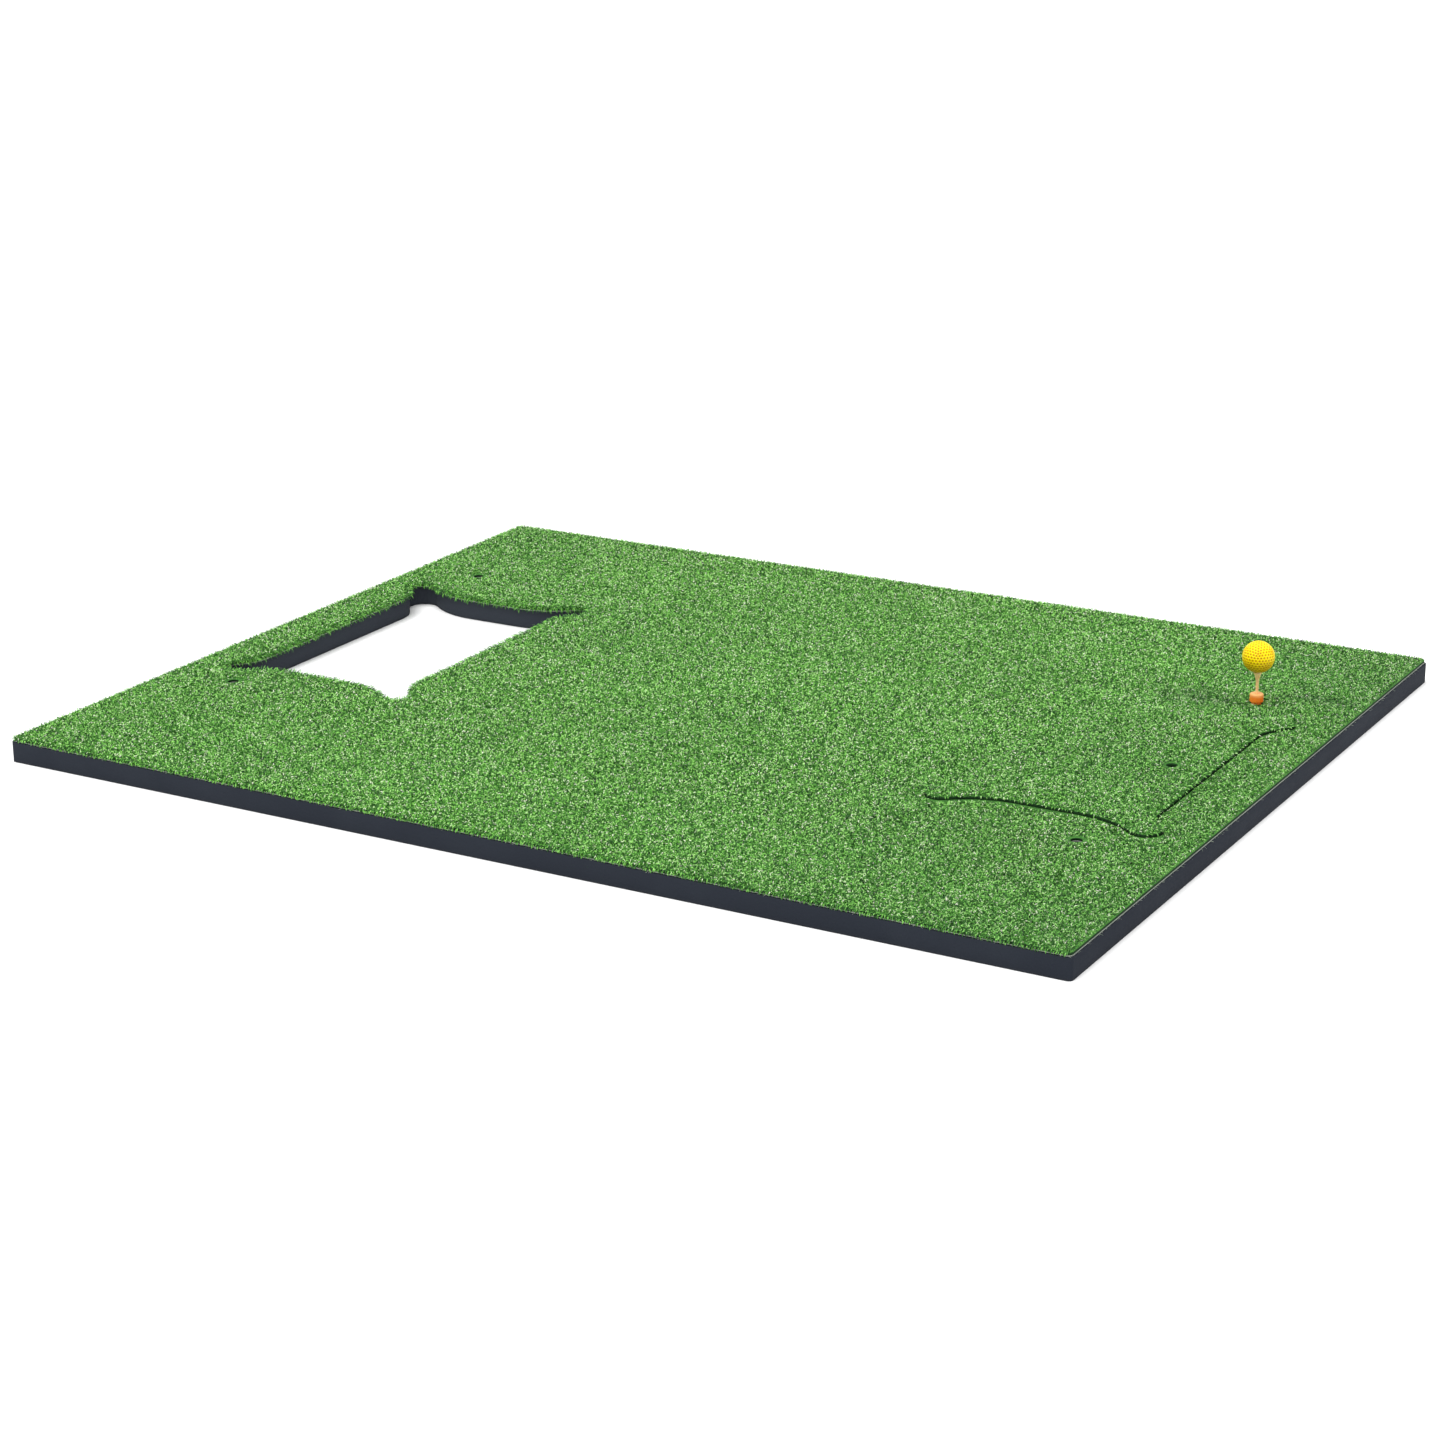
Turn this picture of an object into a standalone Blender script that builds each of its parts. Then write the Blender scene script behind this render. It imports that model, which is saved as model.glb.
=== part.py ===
"""Golf hitting mat: a foam pad with two hide-shaped pockets under a turf skin, one turf insert in its
pocket, and a practice ball on a tee. The other pocket is open. Metres, +Z up, origin at the middle of
the mat on the floor, +X along the long side and +Y towards the back."""

import math

import bmesh
import bpy

# Driving dimensions of the mat
MAT_LENGTH = 1.500
MAT_WIDTH = 1.200
MAT_CORNER_RADIUS = 0.006
TURF_INSET = 0.002
PAD_THICKNESS = 0.027
BACKING_THICKNESS = 0.0015
PILE_THICKNESS = 0.0064
TOUCH_GAP = 0.0003

# The pocket is a rectangle whose four corners flare out into round ears, like a stretched hide
POCKET_HALF_WAIST = 0.130
POCKET_HALF_LENGTH = 0.209
EAR_X = 0.135
EAR_Y = 0.222
EAR_RADIUS = 0.022
SIDE_FLARE_RADIUS = 0.060
END_FLARE_RADIUS = 0.120
LEFT_POCKET = (-0.546, 0.008)
RIGHT_POCKET = (0.5375, 0.008)
INSERT_CLEARANCE = 0.002

# Tee holes
TEE_HOLE_RADIUS = 0.0075
TEE_HOLE_X = 0.613
TEE_HOLE_PITCH = 0.292
TEE_ROW_MIDDLE = 0.012
LEFT_TEE_HOLES = ((-0.645, -0.270), (-0.642, 0.322))

# Rubber socket, tee and ball
COLLAR_RADIUS = 0.0092
COLLAR_HEIGHT = 0.0105
COLLAR_ROUNDING = 0.0015
PLUG_RADIUS = 0.0070
PLUG_BOTTOM = 0.004
SOCKET_BORE_RADIUS = 0.0025
SOCKET_BORE_DEPTH = 0.030
TEE_SHAFT_RADIUS = 0.0021
TEE_RIM_RADIUS = 0.0058
TEE_SEAT_RADIUS = 0.0048
TEE_FLARE_HEIGHT = 0.016
TEE_POINT_HEIGHT = 0.005
BALL_RADIUS = 0.0215
BALL_CENTRE_OVER_TURF = 0.0612

# Facets
ARC_STEPS = 7
HOLE_SIDES = 16
TURNED_STEPS = 32
FLARE_STEPS = 8

# Heights that follow from the layers
BACKING_BOTTOM = PAD_THICKNESS + TOUCH_GAP
PILE_BOTTOM = BACKING_BOTTOM + BACKING_THICKNESS + TOUCH_GAP
TURF_TOP = PILE_BOTTOM + PILE_THICKNESS
COLLAR_BOTTOM = TURF_TOP + TOUCH_GAP
COLLAR_TOP = COLLAR_BOTTOM + COLLAR_HEIGHT
BALL_CENTRE = TURF_TOP + BALL_CENTRE_OVER_TURF


def clear_scene():
    for obj in list(bpy.data.objects):
        bpy.data.objects.remove(obj, do_unlink=True)


def new_collection(name):
    collection = bpy.data.collections.new(name)
    bpy.context.scene.collection.children.link(collection)
    return collection


def make_material(name, colour, roughness, metallic=0.0):
    material = bpy.data.materials.new(name)
    material.use_nodes = True
    shader = material.node_tree.nodes["Principled BSDF"]
    shader.inputs["Base Color"].default_value = (*colour, 1.0)
    shader.inputs["Roughness"].default_value = roughness
    shader.inputs["Metallic"].default_value = metallic
    return material


# Outlines -------------------------------------------------------------------


def arc(centre, radius, start, end, steps=ARC_STEPS):
    """Points along an arc, both ends included, from one angle in degrees to another."""
    points = []
    for step in range(steps + 1):
        angle = math.radians(start + (end - start) * step / steps)
        points.append((centre[0] + radius * math.cos(angle), centre[1] + radius * math.sin(angle)))
    return points


def round_rectangle(length, width, radius):
    x = length / 2 - radius
    y = width / 2 - radius
    corners = (((x, y), 0), ((-x, y), 90), ((-x, -y), 180), ((x, -y), 270))
    points = []
    for centre, start in corners:
        points += arc(centre, radius, start, start + 90, 4)
    return points


def hide_quarter(shrink):
    """The quarter of the pocket's outline at +X and +Y: side flare, ear and end flare, each tangent to the next."""
    waist = POCKET_HALF_WAIST - shrink
    half_length = POCKET_HALF_LENGTH - shrink
    ear = EAR_RADIUS - shrink
    side = SIDE_FLARE_RADIUS + shrink
    end = END_FLARE_RADIUS + shrink
    side_x = waist + side
    side_y = EAR_Y - math.sqrt((side + ear) ** 2 - (side_x - EAR_X) ** 2)
    end_y = half_length + end
    end_x = EAR_X - math.sqrt((end + ear) ** 2 - (end_y - EAR_Y) ** 2)
    side_angle = math.degrees(math.atan2(EAR_Y - side_y, EAR_X - side_x))
    end_angle = math.degrees(math.atan2(EAR_Y - end_y, EAR_X - end_x))
    points = arc((side_x, side_y), side, 180, side_angle)
    points += arc((EAR_X, EAR_Y), ear, side_angle - 180, end_angle + 180, 2 * ARC_STEPS)[1:]
    points += arc((end_x, end_y), end, end_angle, -90)[1:]
    return points


def hide_outline(centre=(0.0, 0.0), shrink=0.0):
    """The whole outline of a pocket, or of an insert where shrink draws it in all round."""
    quarter = hide_quarter(shrink)
    loop = list(quarter)
    loop += [(-x, y) for x, y in reversed(quarter)]
    loop += [(-x, -y) for x, y in quarter]
    loop += [(x, -y) for x, y in reversed(quarter)]
    return [(centre[0] + x, centre[1] + y) for x, y in loop]


def hole_outline(centre):
    return arc(centre, TEE_HOLE_RADIUS, 0, 360, HOLE_SIDES)[:-1]


# Solids ---------------------------------------------------------------------


def weld(mesh):
    """Joins a curve's loose caps to its walls."""
    work = bmesh.new()
    work.from_mesh(mesh)
    bmesh.ops.remove_doubles(work, verts=work.verts, dist=1e-5)
    work.to_mesh(mesh)
    work.free()


def make_sheet(name, outlines, bottom, thickness, material, origin=None):
    """A flat piece of even thickness. The first outline is its edge and the others are cut out of it."""
    curve = bpy.data.curves.new(name, "CURVE")
    curve.dimensions = "2D"
    curve.fill_mode = "BOTH"
    curve.extrude = thickness / 2
    for outline in outlines:
        spline = curve.splines.new("POLY")
        spline.points.add(len(outline) - 1)
        for point, (x, y) in zip(spline.points, outline):
            point.co = (x, y, 0.0, 1.0)
        spline.use_cyclic_u = True
    drawing = bpy.data.objects.new(name + "_drawing", curve)
    parts.objects.link(drawing)
    graph = bpy.context.evaluated_depsgraph_get()
    mesh = bpy.data.meshes.new_from_object(drawing.evaluated_get(graph))
    bpy.data.objects.remove(drawing, do_unlink=True)
    weld(mesh)
    mesh.name = name
    mesh.materials.clear()
    mesh.materials.append(material)
    piece = bpy.data.objects.new(name, mesh)
    piece.location = (0.0, 0.0, bottom + thickness / 2)
    piece.parent = origin
    parts.objects.link(piece)
    return piece


def make_turned(name, profile, material, origin):
    """A round piece: its profile of (radius, height) turned about the vertical axis through origin."""
    mesh = bpy.data.meshes.new(name)
    points = [(radius, 0.0, height) for radius, height in profile]
    edges = [(index, index + 1) for index in range(len(points) - 1)]
    mesh.from_pydata(points, edges, [])
    mesh.materials.append(material)
    piece = bpy.data.objects.new(name, mesh)
    piece.parent = origin
    parts.objects.link(piece)
    screw = piece.modifiers.new("turn", "SCREW")
    screw.steps = TURNED_STEPS
    screw.render_steps = TURNED_STEPS
    screw.use_merge_vertices = True
    screw.merge_threshold = 0.00005
    screw.use_smooth_shade = True
    return piece


def make_origin(name, place):
    """An empty on a moving piece's axis, which the piece hangs from."""
    empty = bpy.data.objects.new(name, None)
    empty.location = place
    parts.objects.link(empty)
    return empty


# Pieces ---------------------------------------------------------------------


def make_mat():
    """The foam pad, the woven backing of its turf and the pile, all cut alike."""
    tee_holes = [(TEE_HOLE_X, TEE_ROW_MIDDLE + side * TEE_HOLE_PITCH) for side in (-1, 1)]
    cuts = [hide_outline(LEFT_POCKET), hide_outline(RIGHT_POCKET)]
    cuts += [hole_outline(place) for place in (*tee_holes, *LEFT_TEE_HOLES)]
    pad_edge = round_rectangle(MAT_LENGTH, MAT_WIDTH, MAT_CORNER_RADIUS)
    turf_edge = round_rectangle(MAT_LENGTH - 2 * TURF_INSET, MAT_WIDTH - 2 * TURF_INSET, MAT_CORNER_RADIUS)
    make_sheet("base_pad", [pad_edge, *cuts], 0.0, PAD_THICKNESS, foam)
    make_sheet("turf_backing", [turf_edge, *cuts], BACKING_BOTTOM, BACKING_THICKNESS, backing)
    make_sheet("turf_pile", [turf_edge, *cuts], PILE_BOTTOM, PILE_THICKNESS, pile)


def make_insert():
    """The drop-in insert: the same three layers, drawn in all round so that it lifts out by hand."""
    origin = make_origin("insert_origin", (*RIGHT_POCKET, 0.0))
    hole = (TEE_HOLE_X - RIGHT_POCKET[0], TEE_ROW_MIDDLE - RIGHT_POCKET[1])
    outlines = [hide_outline(shrink=INSERT_CLEARANCE), hole_outline(hole)]
    make_sheet("insert_pad", outlines, 0.0, PAD_THICKNESS, foam, origin)
    make_sheet("insert_backing", outlines, BACKING_BOTTOM, BACKING_THICKNESS, backing, origin)
    make_sheet("insert_pile", outlines, PILE_BOTTOM, PILE_THICKNESS, pile, origin)


def make_socket(origin):
    """The rubber socket: a collar that sits on the turf and a plug that fills the tee hole, bored for the tee."""
    rim = COLLAR_RADIUS - COLLAR_ROUNDING
    profile = [(0.0, COLLAR_TOP - SOCKET_BORE_DEPTH)]
    profile += [(SOCKET_BORE_RADIUS, COLLAR_TOP - SOCKET_BORE_DEPTH)]
    profile += [(SOCKET_BORE_RADIUS, COLLAR_TOP)]
    profile += arc((rim, COLLAR_TOP - COLLAR_ROUNDING), COLLAR_ROUNDING, 90, 0, 3)
    profile += [(COLLAR_RADIUS, COLLAR_BOTTOM)]
    profile += [(PLUG_RADIUS, COLLAR_BOTTOM)]
    profile += [(PLUG_RADIUS, PLUG_BOTTOM)]
    profile += [(0.0, PLUG_BOTTOM)]
    make_turned("tee_socket", profile, rubber, origin)


def make_tee(origin):
    """The tee: a thin pointed shaft that flares into a shallow seat for the ball."""
    rim_height = BALL_CENTRE - math.sqrt(BALL_RADIUS**2 - TEE_SEAT_RADIUS**2)
    seat_floor = BALL_CENTRE - BALL_RADIUS - TOUCH_GAP
    tip = COLLAR_TOP - SOCKET_BORE_DEPTH + TOUCH_GAP
    profile = [(0.0, seat_floor), (TEE_SEAT_RADIUS * 0.6, seat_floor + TOUCH_GAP / 4)]
    profile += [(TEE_SEAT_RADIUS + TOUCH_GAP, rim_height)]
    for step in range(FLARE_STEPS + 1):
        down = step / FLARE_STEPS
        radius = TEE_SHAFT_RADIUS + (TEE_RIM_RADIUS - TEE_SHAFT_RADIUS) * (1 - down) ** 2.2
        profile.append((radius, rim_height - TEE_FLARE_HEIGHT * down))
    profile += [(TEE_SHAFT_RADIUS, tip + TEE_POINT_HEIGHT)]
    profile += [(TEE_SHAFT_RADIUS * 0.3, tip)]
    profile += [(0.0, tip)]
    make_turned("tee", profile, tee_plastic, origin)


def make_ball(origin):
    mesh = bpy.data.meshes.new("ball")
    work = bmesh.new()
    bmesh.ops.create_uvsphere(work, u_segments=TURNED_STEPS, v_segments=TURNED_STEPS // 2, radius=BALL_RADIUS)
    work.to_mesh(mesh)
    work.free()
    mesh.shade_smooth()
    mesh.materials.append(ball_plastic)
    piece = bpy.data.objects.new("ball", mesh)
    piece.location = (0.0, 0.0, BALL_CENTRE)
    piece.parent = origin
    parts.objects.link(piece)


clear_scene()
parts = new_collection("golf_hitting_mat")
foam = make_material("foam", (0.040, 0.046, 0.058), 0.85)
backing = make_material("backing", (0.42, 0.44, 0.40), 0.9)
pile = make_material("turf", (0.06, 0.26, 0.045), 0.65)
rubber = make_material("socket_rubber", (0.83, 0.16, 0.03), 0.5)
tee_plastic = make_material("tee_plastic", (0.87, 0.52, 0.27), 0.4)
ball_plastic = make_material("ball_plastic", (1.0, 0.68, 0.0), 0.35)

make_mat()
make_insert()
tee_origin = make_origin("tee_origin", (TEE_HOLE_X, TEE_ROW_MIDDLE + TEE_HOLE_PITCH, 0.0))
make_socket(tee_origin)
make_tee(tee_origin)
make_ball(tee_origin)
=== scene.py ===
# %% [markdown]
# # A golf hitting mat
# The mat is a slab of closed-cell foam with a skin of tufted nylon grass glued on top. Two pockets, shaped
# like a stretched hide, are cut right through it. One holds its turf insert, the other is empty. A ball
# stands on a tee in a rubber socket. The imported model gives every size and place, so it is loaded first and
# every piece below is made in its frame, in metres, with +Z up.

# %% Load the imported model
import math

import bmesh
import bpy
from mathutils import Matrix, Vector


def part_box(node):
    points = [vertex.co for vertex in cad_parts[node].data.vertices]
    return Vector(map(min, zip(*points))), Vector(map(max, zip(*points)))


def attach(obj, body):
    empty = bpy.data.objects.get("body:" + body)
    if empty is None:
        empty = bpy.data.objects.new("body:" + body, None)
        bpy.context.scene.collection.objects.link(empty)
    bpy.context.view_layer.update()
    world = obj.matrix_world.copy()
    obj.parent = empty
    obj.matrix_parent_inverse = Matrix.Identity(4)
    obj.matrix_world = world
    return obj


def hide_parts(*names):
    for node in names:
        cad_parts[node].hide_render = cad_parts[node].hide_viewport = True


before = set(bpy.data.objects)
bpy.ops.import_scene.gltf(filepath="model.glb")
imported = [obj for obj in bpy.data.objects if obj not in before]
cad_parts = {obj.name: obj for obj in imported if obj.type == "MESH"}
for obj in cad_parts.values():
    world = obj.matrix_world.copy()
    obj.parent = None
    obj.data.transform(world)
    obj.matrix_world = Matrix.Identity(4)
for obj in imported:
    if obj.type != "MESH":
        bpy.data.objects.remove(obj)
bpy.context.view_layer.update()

# %% [markdown]
# ## Floor, light and camera
# Curled turf shows its grain when most of the light comes from above: tips shine and the gaps between them
# stay dark, while the cut foam sides keep in the shade. Light from one small lamp would make it stripes. So
# a sun lamp with a very wide disc stands almost overhead, like a ceiling of softboxes, and a dimmer white
# world fills in. A sun also lights the pale floor evenly out to the horizon, which an area lamp can't. The
# colours are shown as they are, with the Standard view transform, because the default one greys bright
# greens and yellows.

# %% Camera
CAMERA_PLACE = Vector((2.0094, -3.5142, 1.3605))
CAMERA_HEADING = math.radians(-30.12)
CAMERA_DIP = math.radians(18.62)
CAMERA_ROLL = math.radians(-0.5)
CAMERA_LENS = 79.23
SENSOR_WIDTH = 36.0


def camera_matrix(place, heading, dip, roll):
    """The camera's place and turn: heading from +Y, dip below the horizon, roll about its view."""
    ahead = Vector((math.sin(heading) * math.cos(dip), math.cos(heading) * math.cos(dip), -math.sin(dip)))
    level = ahead.cross(Vector((0, 0, 1))).normalized()
    upright = level.cross(ahead)
    right = math.cos(roll) * level + math.sin(roll) * upright
    up = math.cos(roll) * upright - math.sin(roll) * level
    turned = Matrix((right, up, -ahead)).transposed()
    return Matrix.Translation(place) @ turned.to_4x4()


lens = bpy.data.cameras.new("product_camera")
lens.lens = CAMERA_LENS
lens.sensor_width = SENSOR_WIDTH
camera = bpy.data.objects.new("product_camera", lens)
camera.matrix_world = camera_matrix(CAMERA_PLACE, CAMERA_HEADING, CAMERA_DIP, CAMERA_ROLL)
bpy.context.scene.collection.objects.link(camera)
bpy.context.scene.camera = camera
print("camera stands", round(CAMERA_PLACE.length, 2), "m from the middle of the mat")

# %% Light and floor
WORLD_STRENGTH = 0.85
SUN_STRENGTH = 2.75
SUN_DISC = math.radians(55.0)
SUN_DIRECTION = Vector((0.10, 0.22, -0.97))
FLOOR_SIZE = 60.0
FLOOR_DROP = 0.0004

world = bpy.data.worlds.new("white_studio")
world.use_nodes = True
sky = world.node_tree.nodes["Background"].inputs
sky["Color"].default_value = (1.0, 1.0, 1.0, 1.0)
sky["Strength"].default_value = WORLD_STRENGTH
bpy.context.scene.world = world
bpy.context.scene.view_settings.view_transform = "Standard"

sun_data = bpy.data.lights.new("soft_overhead", "SUN")
sun_data.energy = SUN_STRENGTH
sun_data.angle = SUN_DISC
sun = bpy.data.objects.new("soft_overhead", sun_data)
sun.rotation_euler = SUN_DIRECTION.to_track_quat("-Z", "Y").to_euler()
bpy.context.scene.collection.objects.link(sun)

bpy.ops.mesh.primitive_plane_add(size=FLOOR_SIZE, location=(0, 0, -FLOOR_DROP))
floor = bpy.context.object
floor.name = "studio_floor"
floor_paint = bpy.data.materials.new("pale_floor")
floor_paint.use_nodes = True
floor_shader = floor_paint.node_tree.nodes["Principled BSDF"]
floor_shader.inputs["Base Color"].default_value = (0.93, 0.93, 0.93, 1.0)
floor_shader.inputs["Roughness"].default_value = 0.9
floor_shader.inputs["Specular IOR Level"].default_value = 0.1
floor.data.materials.append(floor_paint)
print("light and floor in place")

# %% [markdown]
# ## Building node trees in code
# Shader trees and Geometry Nodes trees are built the same way: a node is added, its own settings are set,
# and each input is either linked to another node's output or given a value. One small function does all
# three, so the trees below read like a recipe.

# %% Node helpers


def node(tree, kind, inputs=None, **settings):
    """Adds a node. An input given as a socket is linked, and any other is set."""
    made = tree.nodes.new(kind)
    for name, value in settings.items():
        setattr(made, name, value)
    for key, value in (inputs or {}).items():
        if isinstance(value, bpy.types.NodeSocket):
            tree.links.new(value, made.inputs[key])
        else:
            made.inputs[key].default_value = value
    return made


def maths(tree, operation, *values):
    return node(tree, "ShaderNodeMath", dict(enumerate(values)), operation=operation).outputs[0]


def vectors(tree, operation, first, second=None):
    """What a Vector Math node gives. SCALE takes a number second, and LENGTH gives a number."""
    inputs = {0: first}
    if second is not None:
        inputs["Scale" if operation == "SCALE" else 1] = second
    made = node(tree, "ShaderNodeVectorMath", inputs, operation=operation)
    return made.outputs["Value" if operation == "LENGTH" else "Vector"]


def split(tree, vector):
    """The sockets X, Y and Z of a vector."""
    return node(tree, "ShaderNodeSeparateXYZ", {"Vector": vector}).outputs


def joined(tree, **axes):
    """A vector from its X, Y and Z, where one that is left out is 0."""
    return node(tree, "ShaderNodeCombineXYZ", axes).outputs["Vector"]


def blended(tree, share, first, second):
    """A mix of two colours."""
    made = node(tree, "ShaderNodeMix", {0: share, 6: first, 7: second}, data_type="RGBA")
    return made.outputs[2]


def banded(tree, value, stops):
    """A value turned into a colour by a ramp with (position, colour) stops."""
    ramp = node(tree, "ShaderNodeValToRGB", {"Fac": value})
    while len(ramp.color_ramp.elements) < len(stops):
        ramp.color_ramp.elements.new(0.5)
    for element, (position, colour) in zip(ramp.color_ramp.elements, stops):
        element.position = position
        element.color = (*colour, 1.0)
    return ramp.outputs["Color"]


def stretched(tree, value, low, high, to_low=0.0, to_high=1.0):
    """A value moved from one range to another, and kept inside it."""
    made = node(tree, "ShaderNodeMapRange", {0: value, 1: low, 2: high, 3: to_low, 4: to_high})
    return made.outputs[0]


print("node helpers ready")

# %% Material helpers


def new_group(name, inputs, outputs):
    """A shader node group with named sockets. inputs and outputs are lists of (name, type, default)."""
    tree = bpy.data.node_groups.new(name, "ShaderNodeTree")
    for label, kind, default in inputs:
        socket = tree.interface.new_socket(name=label, in_out="INPUT", socket_type="NodeSocket" + kind)
        if default is not None:
            socket.default_value = default
    for label, kind in outputs:
        tree.interface.new_socket(name=label, in_out="OUTPUT", socket_type="NodeSocket" + kind)
    return tree, tree.nodes.new("NodeGroupInput"), tree.nodes.new("NodeGroupOutput")


def new_material(name, **values):
    """A material, its tree, its one Principled shader with plain values set, and its Object coordinates."""
    material = bpy.data.materials.new(name)
    material.use_nodes = True
    tree = material.node_tree
    shader = tree.nodes["Principled BSDF"]
    for socket, value in values.items():
        shader.inputs[socket.replace("_", " ")].default_value = value
    place = tree.nodes.new("ShaderNodeTexCoord").outputs["Object"]
    return material, tree, shader, place


def carried(tree, name):
    """The number that a mesh carries under a name."""
    return node(tree, "ShaderNodeAttribute", attribute_name=name).outputs["Fac"]


def use_colour(tree, shader, colour):
    tree.links.new(colour, shader.inputs["Base Color"])


def use_roughness(tree, shader, specks, smoothest, roughest):
    """Fine specks that are a little rougher than what lies between them."""
    tree.links.new(stretched(tree, specks, 0.3, 0.7, smoothest, roughest), shader.inputs["Roughness"])


def use_bump(tree, shader, height, strength, distance):
    bump = node(tree, "ShaderNodeBump", {"Height": height, "Strength": strength, "Distance": distance})
    tree.links.new(bump.outputs["Normal"], shader.inputs["Normal"])


print("material helpers ready")

# %% [markdown]
# ## Two surface effects that several materials share
# Nothing moulded or foamed is one flat colour. `uneven_tone` drifts a colour towards a second one in soft
# patches and fine specks, the way pigment and handling do. `cell_skin` is the pitted skin of foam and
# rubber: a Voronoi pattern whose cells are the size of the bubbles. Each is a node group, made once and
# used with each material's own values.

# %% Shared groups
uneven_tone, tone_in, tone_out = new_group(
    "uneven_tone",
    [("Vector", "Vector", None), ("Colour", "Color", None), ("Drift", "Color", None),
     ("Patch Size", "Float", 0.1), ("Speck Size", "Float", 0.002), ("Speck Share", "Float", 0.3)],
    [("Colour", "Color"), ("Specks", "Float")],
)
given = tone_in.outputs
patch_scale = maths(uneven_tone, "DIVIDE", 1.0, given["Patch Size"])
speck_scale = maths(uneven_tone, "DIVIDE", 1.0, given["Speck Size"])
patches = node(uneven_tone, "ShaderNodeTexNoise", {
    "Vector": given["Vector"], "Scale": patch_scale, "Detail": 2.0, "Roughness": 0.5}).outputs["Fac"]
specks = node(uneven_tone, "ShaderNodeTexNoise", {
    "Vector": given["Vector"], "Scale": speck_scale, "Detail": 3.0, "Roughness": 0.65}).outputs["Fac"]
speck_part = maths(uneven_tone, "MULTIPLY", stretched(uneven_tone, specks, 0.42, 0.68), given["Speck Share"])
patch_part = stretched(uneven_tone, patches, 0.35, 0.7, 0.0, 0.7)
tone_share = maths(uneven_tone, "MAXIMUM", speck_part, patch_part)
drifted = blended(uneven_tone, tone_share, given["Colour"], given["Drift"])
uneven_tone.links.new(drifted, tone_out.inputs["Colour"])
uneven_tone.links.new(specks, tone_out.inputs["Specks"])

cell_skin, skin_in, skin_out = new_group(
    "cell_skin",
    [("Vector", "Vector", None), ("Cell Size", "Float", 0.0008), ("Depth", "Float", 0.6)],
    [("Height", "Float"), ("Pits", "Float")],
)
given = skin_in.outputs
cell_scale = maths(cell_skin, "DIVIDE", 1.0, given["Cell Size"])
cells = node(cell_skin, "ShaderNodeTexVoronoi", {"Vector": given["Vector"], "Scale": cell_scale})
grain = node(cell_skin, "ShaderNodeTexNoise", {"Vector": given["Vector"], "Scale": cell_scale, "Detail": 4.0})
pits = stretched(cell_skin, cells.outputs["Distance"], 0.05, 0.55)
pitted = maths(cell_skin, "MULTIPLY", pits, given["Depth"])
cell_skin.links.new(maths(cell_skin, "ADD", pitted, grain.outputs["Fac"]), skin_out.inputs["Height"])
cell_skin.links.new(maths(cell_skin, "SUBTRACT", 1.0, pits), skin_out.inputs["Pits"])


def use_tone(tree, place, colour, drift, patch_size, speck_size, speck_share):
    """The sockets of an `uneven_tone` with a material's own values."""
    return node(tree, "ShaderNodeGroup", {
        "Vector": place, "Colour": (*colour, 1.0), "Drift": (*drift, 1.0), "Patch Size": patch_size,
        "Speck Size": speck_size, "Speck Share": speck_share}, node_tree=uneven_tone).outputs


def use_cells(tree, place, cell_size, depth):
    """The sockets of a `cell_skin` with a material's own values."""
    return node(tree, "ShaderNodeGroup", {"Vector": place, "Cell Size": cell_size, "Depth": depth},
                node_tree=cell_skin).outputs


print("groups:", uneven_tone.name, cell_skin.name)

# %% [markdown]
# ## Helpers for finished pieces
# The imported model's meshes are loose triangles. A copy is merged and its flat faces are joined, so that a
# Bevel can round the cut edges. A finished piece keeps its place in its mesh, its object stays at the
# origin, and it is parented to the body it moves with, while the CAD nodes it stands for are hidden.

# %% Piece helpers
MERGE_DISTANCE = 1e-5
FLAT_ANGLE = math.radians(1.0)
SHARP_ANGLE = math.radians(50.0)


def merged_copy(cad_node, name, material):
    """A welded copy of a CAD node's mesh, with its flat faces joined."""
    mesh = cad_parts[cad_node].data.copy()
    work = bmesh.new()
    work.from_mesh(mesh)
    bmesh.ops.remove_doubles(work, verts=work.verts, dist=MERGE_DISTANCE)
    bmesh.ops.dissolve_limit(work, angle_limit=FLAT_ANGLE, verts=work.verts, edges=work.edges)
    for face in work.faces:
        face.smooth = True
    work.to_mesh(mesh)
    work.free()
    mesh.materials.clear()
    mesh.materials.append(material)
    return link_piece(name, mesh)


def mesh_from(work, name):
    """A new mesh from a bmesh, which is freed."""
    mesh = bpy.data.meshes.new(name)
    work.to_mesh(mesh)
    work.free()
    return mesh


def link_piece(name, mesh):
    piece = bpy.data.objects.new(name, mesh)
    mesh.name = name
    bpy.context.scene.collection.objects.link(piece)
    return piece


def round_edges(piece, width, segments=3):
    """Rounds the cut edges, and leaves the shallow angles of a curved wall alone."""
    bevel = piece.modifiers.new("cut_edges", "BEVEL")
    bevel.width = width
    bevel.segments = segments
    bevel.limit_method = "ANGLE"
    bevel.angle_limit = SHARP_ANGLE
    bevel.harden_normals = True


def made_real(piece, name=None):
    """The piece as its modifiers leave it, as a plain mesh object. The one it came from is removed."""
    name = name or piece.name
    graph = bpy.context.evaluated_depsgraph_get()
    mesh = bpy.data.meshes.new_from_object(piece.evaluated_get(graph))
    bpy.data.objects.remove(piece, do_unlink=True)
    return link_piece(name, mesh)


def settle(piece, body, slot, *stands_for):
    """Puts a finished piece on its body and hides the CAD nodes it stands for. Its finish, slot, is not used.
    """
    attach(piece, body)
    if stands_for:
        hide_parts(*stands_for)
    return piece


print("piece helpers ready")
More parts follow.
